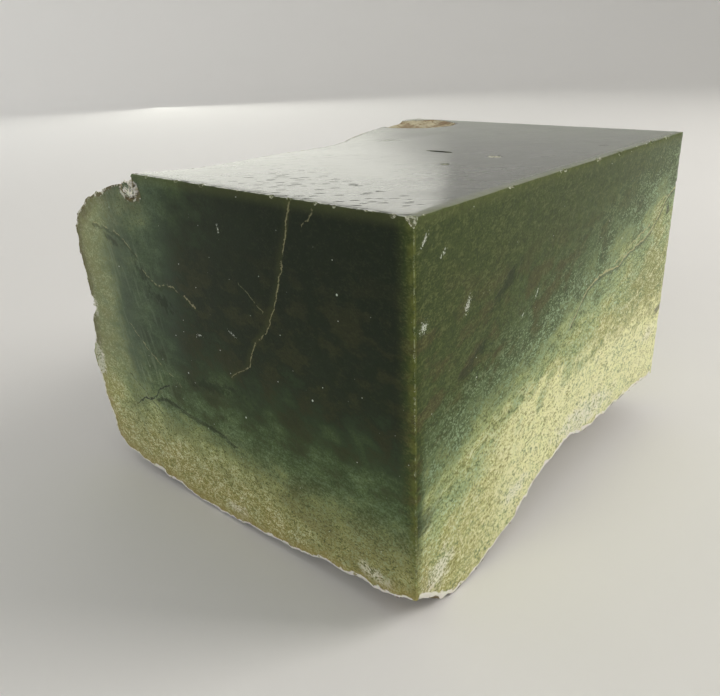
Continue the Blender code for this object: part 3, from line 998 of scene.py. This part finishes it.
def skinFinish():
    bench = Bench("jadeSkin")
    local = bench.local()
    jadeTone, at = bodyColour(bench, local)
    height = bench.value("height")
    at["skinBroad"] = bench.clouds(local, *skin["broad"])
    mottle = at["skinMottle"] = bench.clouds(
        bench.along(local, jade["leaf"], skin["mottleThin"]), *skin["mottle"])
    grain = at["skinGrain"] = bench.clouds(local, *skin["grain"])
    colour = bench.between(skin["base"], at)
    colour = bench.lay(colour, skin["tan"], at)
    colour = bench.lay(colour, skin["brown"], at)
    at["wornHeight"] = height + (grain - 0.5) * 0.3
    worn = bench.fade(skin["worn"], at)
    colour = bench.mix(bench.fade(skin["wornPlace"], at, worn) * skin["wornStrength"], colour, jadeTone)
    at["chalkHeight"] = height + (grain - 0.5) * 0.9 + (mottle - 0.5) * 1.3
    at["rust"] = bench.clouds(local, *skin["rustPatch"])
    for layer in ("chalk", "rust", "crust", "soil"):
        colour = bench.lay(colour, skin[layer], at)
    at["recessPatch"] = mottle * 0.5 + grain * 0.5
    inTop = bench.fade(skin["recessPlace"], at) * skin["recessStrength"]
    colour = bench.mix(inTop, colour, bench.between(skin["recess"], at))
    gloss = skin["roughness"] + (grain - 0.5) * 0.14 - worn * 0.22
    relief = grain * 0.14 + bench.clouds(local, *skin["bumps"]) * 0.05
    return bench.finish(colour, gloss, skin["body"], relief, 0.9)


# fresh breaks: lighter jade, white where it is crushed, dark in the crack of the top

fresh = {
    "grain": (0.7, 4, 0.7),
    "stone": ("777c4a", 0.45),
    # where it is crushed white: the breaks in the side's rim, the spall and the nicks of the top
    "sideBreaks": [("y", 118, 124)],
    "inTop": [("z", 95, 98)],
    "topSpall": ((68.4, 25.1), (5, 5), 0),
    "topCrack": ((69.4, 44.3), (6.5, 3), 90),
    "nicks": [("y", 4, 0.5), ("z", 94, 99)],
    "crushed": ("e2e2d2", 0.8, ("crushed", 0.5, 0.85)),
    "crack": ("35362b", 1),
    "roughness": 0.38,
    "body": {"IOR": 1.6, "Specular IOR Level": 0.4, "Subsurface Weight": 0.4,
             "Subsurface Radius": (0.8, 1.0, 0.5), "Subsurface Scale": 0.002},
}


def breakFinish():
    bench = Bench("jadeBreak")
    local = bench.local()
    colour, at = bodyColour(bench, local)
    grain = bench.clouds(local, *fresh["grain"])
    colour = bench.lay(colour, fresh["stone"], at)
    place = (at["x"], at["y"])
    crushed = bench.fade(fresh["inTop"], at, softSpot(bench, place, *fresh["topSpall"]))
    crushed = crushed.most(bench.fade(fresh["sideBreaks"], at)).most(bench.fade(fresh["nicks"], at) * 0.4)
    at["crushed"] = grain + crushed * 0.35
    colour = bench.lay(colour, fresh["crushed"], at)
    crack = bench.fade(fresh["inTop"], at, softSpot(bench, place, *fresh["topCrack"]))
    colour = bench.lay(colour, fresh["crack"], at, crack)
    return bench.finish(colour, fresh["roughness"] + (grain - 0.5) * 0.1, fresh["body"], grain * 0.12)


# the crusts of small crystals

crust = {
    "grain": (0.8, 4, 0.7),
    "tones": ("a39f82", "f4f2ea", ("grain", 0.15, 0.7)),
    "roughness": 0.42,
    "body": {"IOR": 1.54, "Specular IOR Level": 0.5, "Subsurface Weight": 0.4,
             "Subsurface Radius": (1.0, 1.0, 0.8), "Subsurface Scale": 0.002},
}


def crystalFinish():
    bench = Bench("jadeCrystal")
    grain = bench.clouds(bench.local(), *crust["grain"])
    colour = bench.between(crust["tones"], {"grain": grain})
    return bench.finish(colour, crust["roughness"], crust["body"], grain * 0.1, 0.6)


# camera, floor and lights

view = {
    "spot": (-0.1750, -0.14883, 0.1309),
    "yaw": 47.60,              # degrees clockwise from +Y, seen from above
    "pitch": 23.23,
    "roll": -2.28,
    "lens": 36.085,
    "sensor": 36,
}
studio = {
    "floor": "ededec",
    "floorLook": (0.75, {"Specular IOR Level": 0.2}),
    "reach": 1.7,              # radius of the flat floor, metres
    "wall": (0.7, 1.5, 10),    # radius of the bend up to the wall, its height, and the steps of the bend
    "sky": (0.33, "ffffff"),
}
# softboxes: place, size in metres, watts, colour, turn in degrees, and where they point
softboxes = {
    "key": ((0.98, -1.0, 0.82), (0.75, 0.75), 15.5, "fffaf3", 0, blockCentre),
    "behind": ((0.9, 1.167, 0.44), (0.8, 0.6), 1.5, "fdfdf2", -31, blockCentre),
    "fill": ((-1.1, -0.1, 0.5), (0.8, 0.8), 3.2, "ffffff", 0, blockCentre),
    "wallWash": ((-0.3, 1.05, 1.15), (0.8, 0.4), 5.5, "ffffff", 0, (0.45, 2.2, 0.4)),
}


def makeCamera():
    bpy.ops.object.camera_add(location=view["spot"])
    camera = bpy.context.object
    camera.name = "camera"
    yaw, pitch, roll = (math.radians(view[key]) for key in ("yaw", "pitch", "roll"))
    camera.rotation_euler = (Matrix.Rotation(-yaw, 3, "Z") @ Matrix.Rotation(math.pi / 2 - pitch, 3, "X")
                             @ Matrix.Rotation(roll, 3, "Z")).to_euler()
    camera.data.sensor_width = view["sensor"]
    camera.data.lens = view["lens"]
    bpy.context.scene.camera = camera


def makeFloor():
    dropSelection()
    reach = studio["reach"]
    bend, wallHeight, steps = studio["wall"]
    bpy.ops.mesh.primitive_circle_add(vertices=96, radius=reach, fill_type="NGON")
    floor = bpy.context.object
    floor.name = "floor"
    selectEdges(floor, lambda a, b: min(a.length, b.length) > 0.99 * reach)
    radius, level = reach, 0.0
    for step in range(1, steps + 1):
        turn = math.pi / 2 * step / steps
        newRadius = reach + bend * math.sin(turn)
        newLevel = bend * (1 - math.cos(turn))
        bpy.ops.mesh.extrude_region_move(TRANSFORM_OT_translate={"value": (0, 0, newLevel - level)})
        growth = newRadius / radius
        bpy.ops.transform.resize(value=(growth, growth, 1), center_override=(0, 0, 0))
        radius, level = newRadius, newLevel
    bpy.ops.mesh.extrude_region_move(TRANSFORM_OT_translate={"value": (0, 0, wallHeight - level)})
    bpy.ops.object.mode_set(mode="OBJECT")
    bpy.ops.object.shade_smooth_by_angle(angle=math.radians(40))
    paint = Bench("floorPaint")
    floor.data.materials.append(paint.finish(tint(studio["floor"]), *studio["floorLook"]))


def makeLight(name):
    place, size, watts, colour, turn, target = softboxes[name]
    bpy.ops.object.light_add(type="AREA", location=place)
    light = bpy.context.object
    light.name = name
    light.data.shape = "RECTANGLE"
    light.data.size, light.data.size_y = size
    light.data.energy = watts
    light.data.color = tint(colour)[:3]
    aim = (Vector(target) - Vector(place)).to_track_quat("-Z", "Y").to_matrix()
    light.rotation_euler = (aim @ Matrix.Rotation(math.radians(turn), 3, "Z")).to_euler()
    light.visible_camera = False


def makeStudio():
    makeFloor()
    for name in softboxes:
        makeLight(name)
    world = bpy.data.worlds.new("sky")
    bpy.context.scene.world = world
    world.use_nodes = True
    strength, colour = studio["sky"]
    backdrop = world.node_tree.nodes["Background"]
    backdrop.inputs["Color"].default_value = tint(colour)
    backdrop.inputs["Strength"].default_value = strength
    bpy.context.scene.view_settings.view_transform = "Standard"


# in the order of finishOrder
finishes = [skinFinish(), sawnFinish(), breakFinish(), crystalFinish(), topFinish()]
print("finishes mixed")
stone = makeStone(finishes)
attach(stone, "root")
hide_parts("jade_boulder")
print("stone finished")
makeCamera()
makeStudio()
print("camera and lights set")
